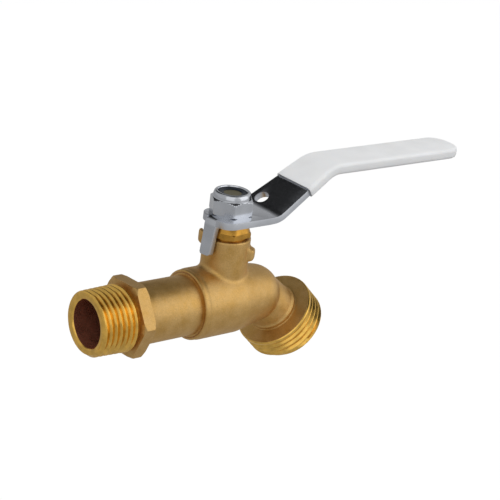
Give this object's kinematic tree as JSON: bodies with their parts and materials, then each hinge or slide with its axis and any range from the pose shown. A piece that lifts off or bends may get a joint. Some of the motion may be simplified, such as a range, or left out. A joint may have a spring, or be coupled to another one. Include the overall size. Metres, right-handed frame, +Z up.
{
  "type": "hose bibb",
  "caption": "Quarter-turn brass hose bibb with a male pipe-thread inlet, a 45-degree hose outlet and a cranked lever in a white sleeve.",
  "frame": {"origin": "centre of the inlet's end face, on the pipe axis, where the valve screws into its fitting", "axes": "+X runs along the pipe from the inlet towards the outlet and along the open lever, +Z runs up the stem"},
  "size_m": [0.1477, 0.027, 0.0679],
  "materials": {
    "cast_brass": "bead-blasted, matte",
    "turned_brass": "machined",
    "plated_steel": "bright plated",
    "plated_ball": "polished plating",
    "white_vinyl": "dipped, satin",
    "dark_nylon": "moulded",
    "white_seal": "moulded, waxy",
    "black_rubber": "smooth"
  },
  "bodies": {
    "valve": {"valve_body": "cast_brass", "inlet_adapter": "cast_brass", "packing_nut": "turned_brass", "inlet_seat": "white_seal", "outlet_seat": "white_seal", "stem_thrust_washer": "white_seal", "lower_packing_ring": "white_seal", "upper_packing_ring": "white_seal"},
    "handle": {"stem": "turned_brass", "stem_o_ring": "black_rubber", "handle_lever": "plated_steel", "handle_sleeve": "white_vinyl", "handle_nut": "plated_steel", "nut_nylon_insert": "dark_nylon"},
    "ball": {"ball": "plated_ball"}
  },
  "joints": [
    {"name": "handle_turn", "type": "hinge", "parent": "valve", "child": "handle", "pos_m": [0.0512, 0, 0], "axis": [0, 0, 1], "range_deg": [0, 90]},
    {"name": "ball_turn", "type": "hinge", "parent": "valve", "child": "ball", "pos_m": [0.0512, 0, 0], "axis": [0, 0, 1], "range_deg": [0, 90]}
  ],
  "couplings": [
    {"joint": "ball_turn", "follows": "handle_turn", "ratio": 1}
  ]
}
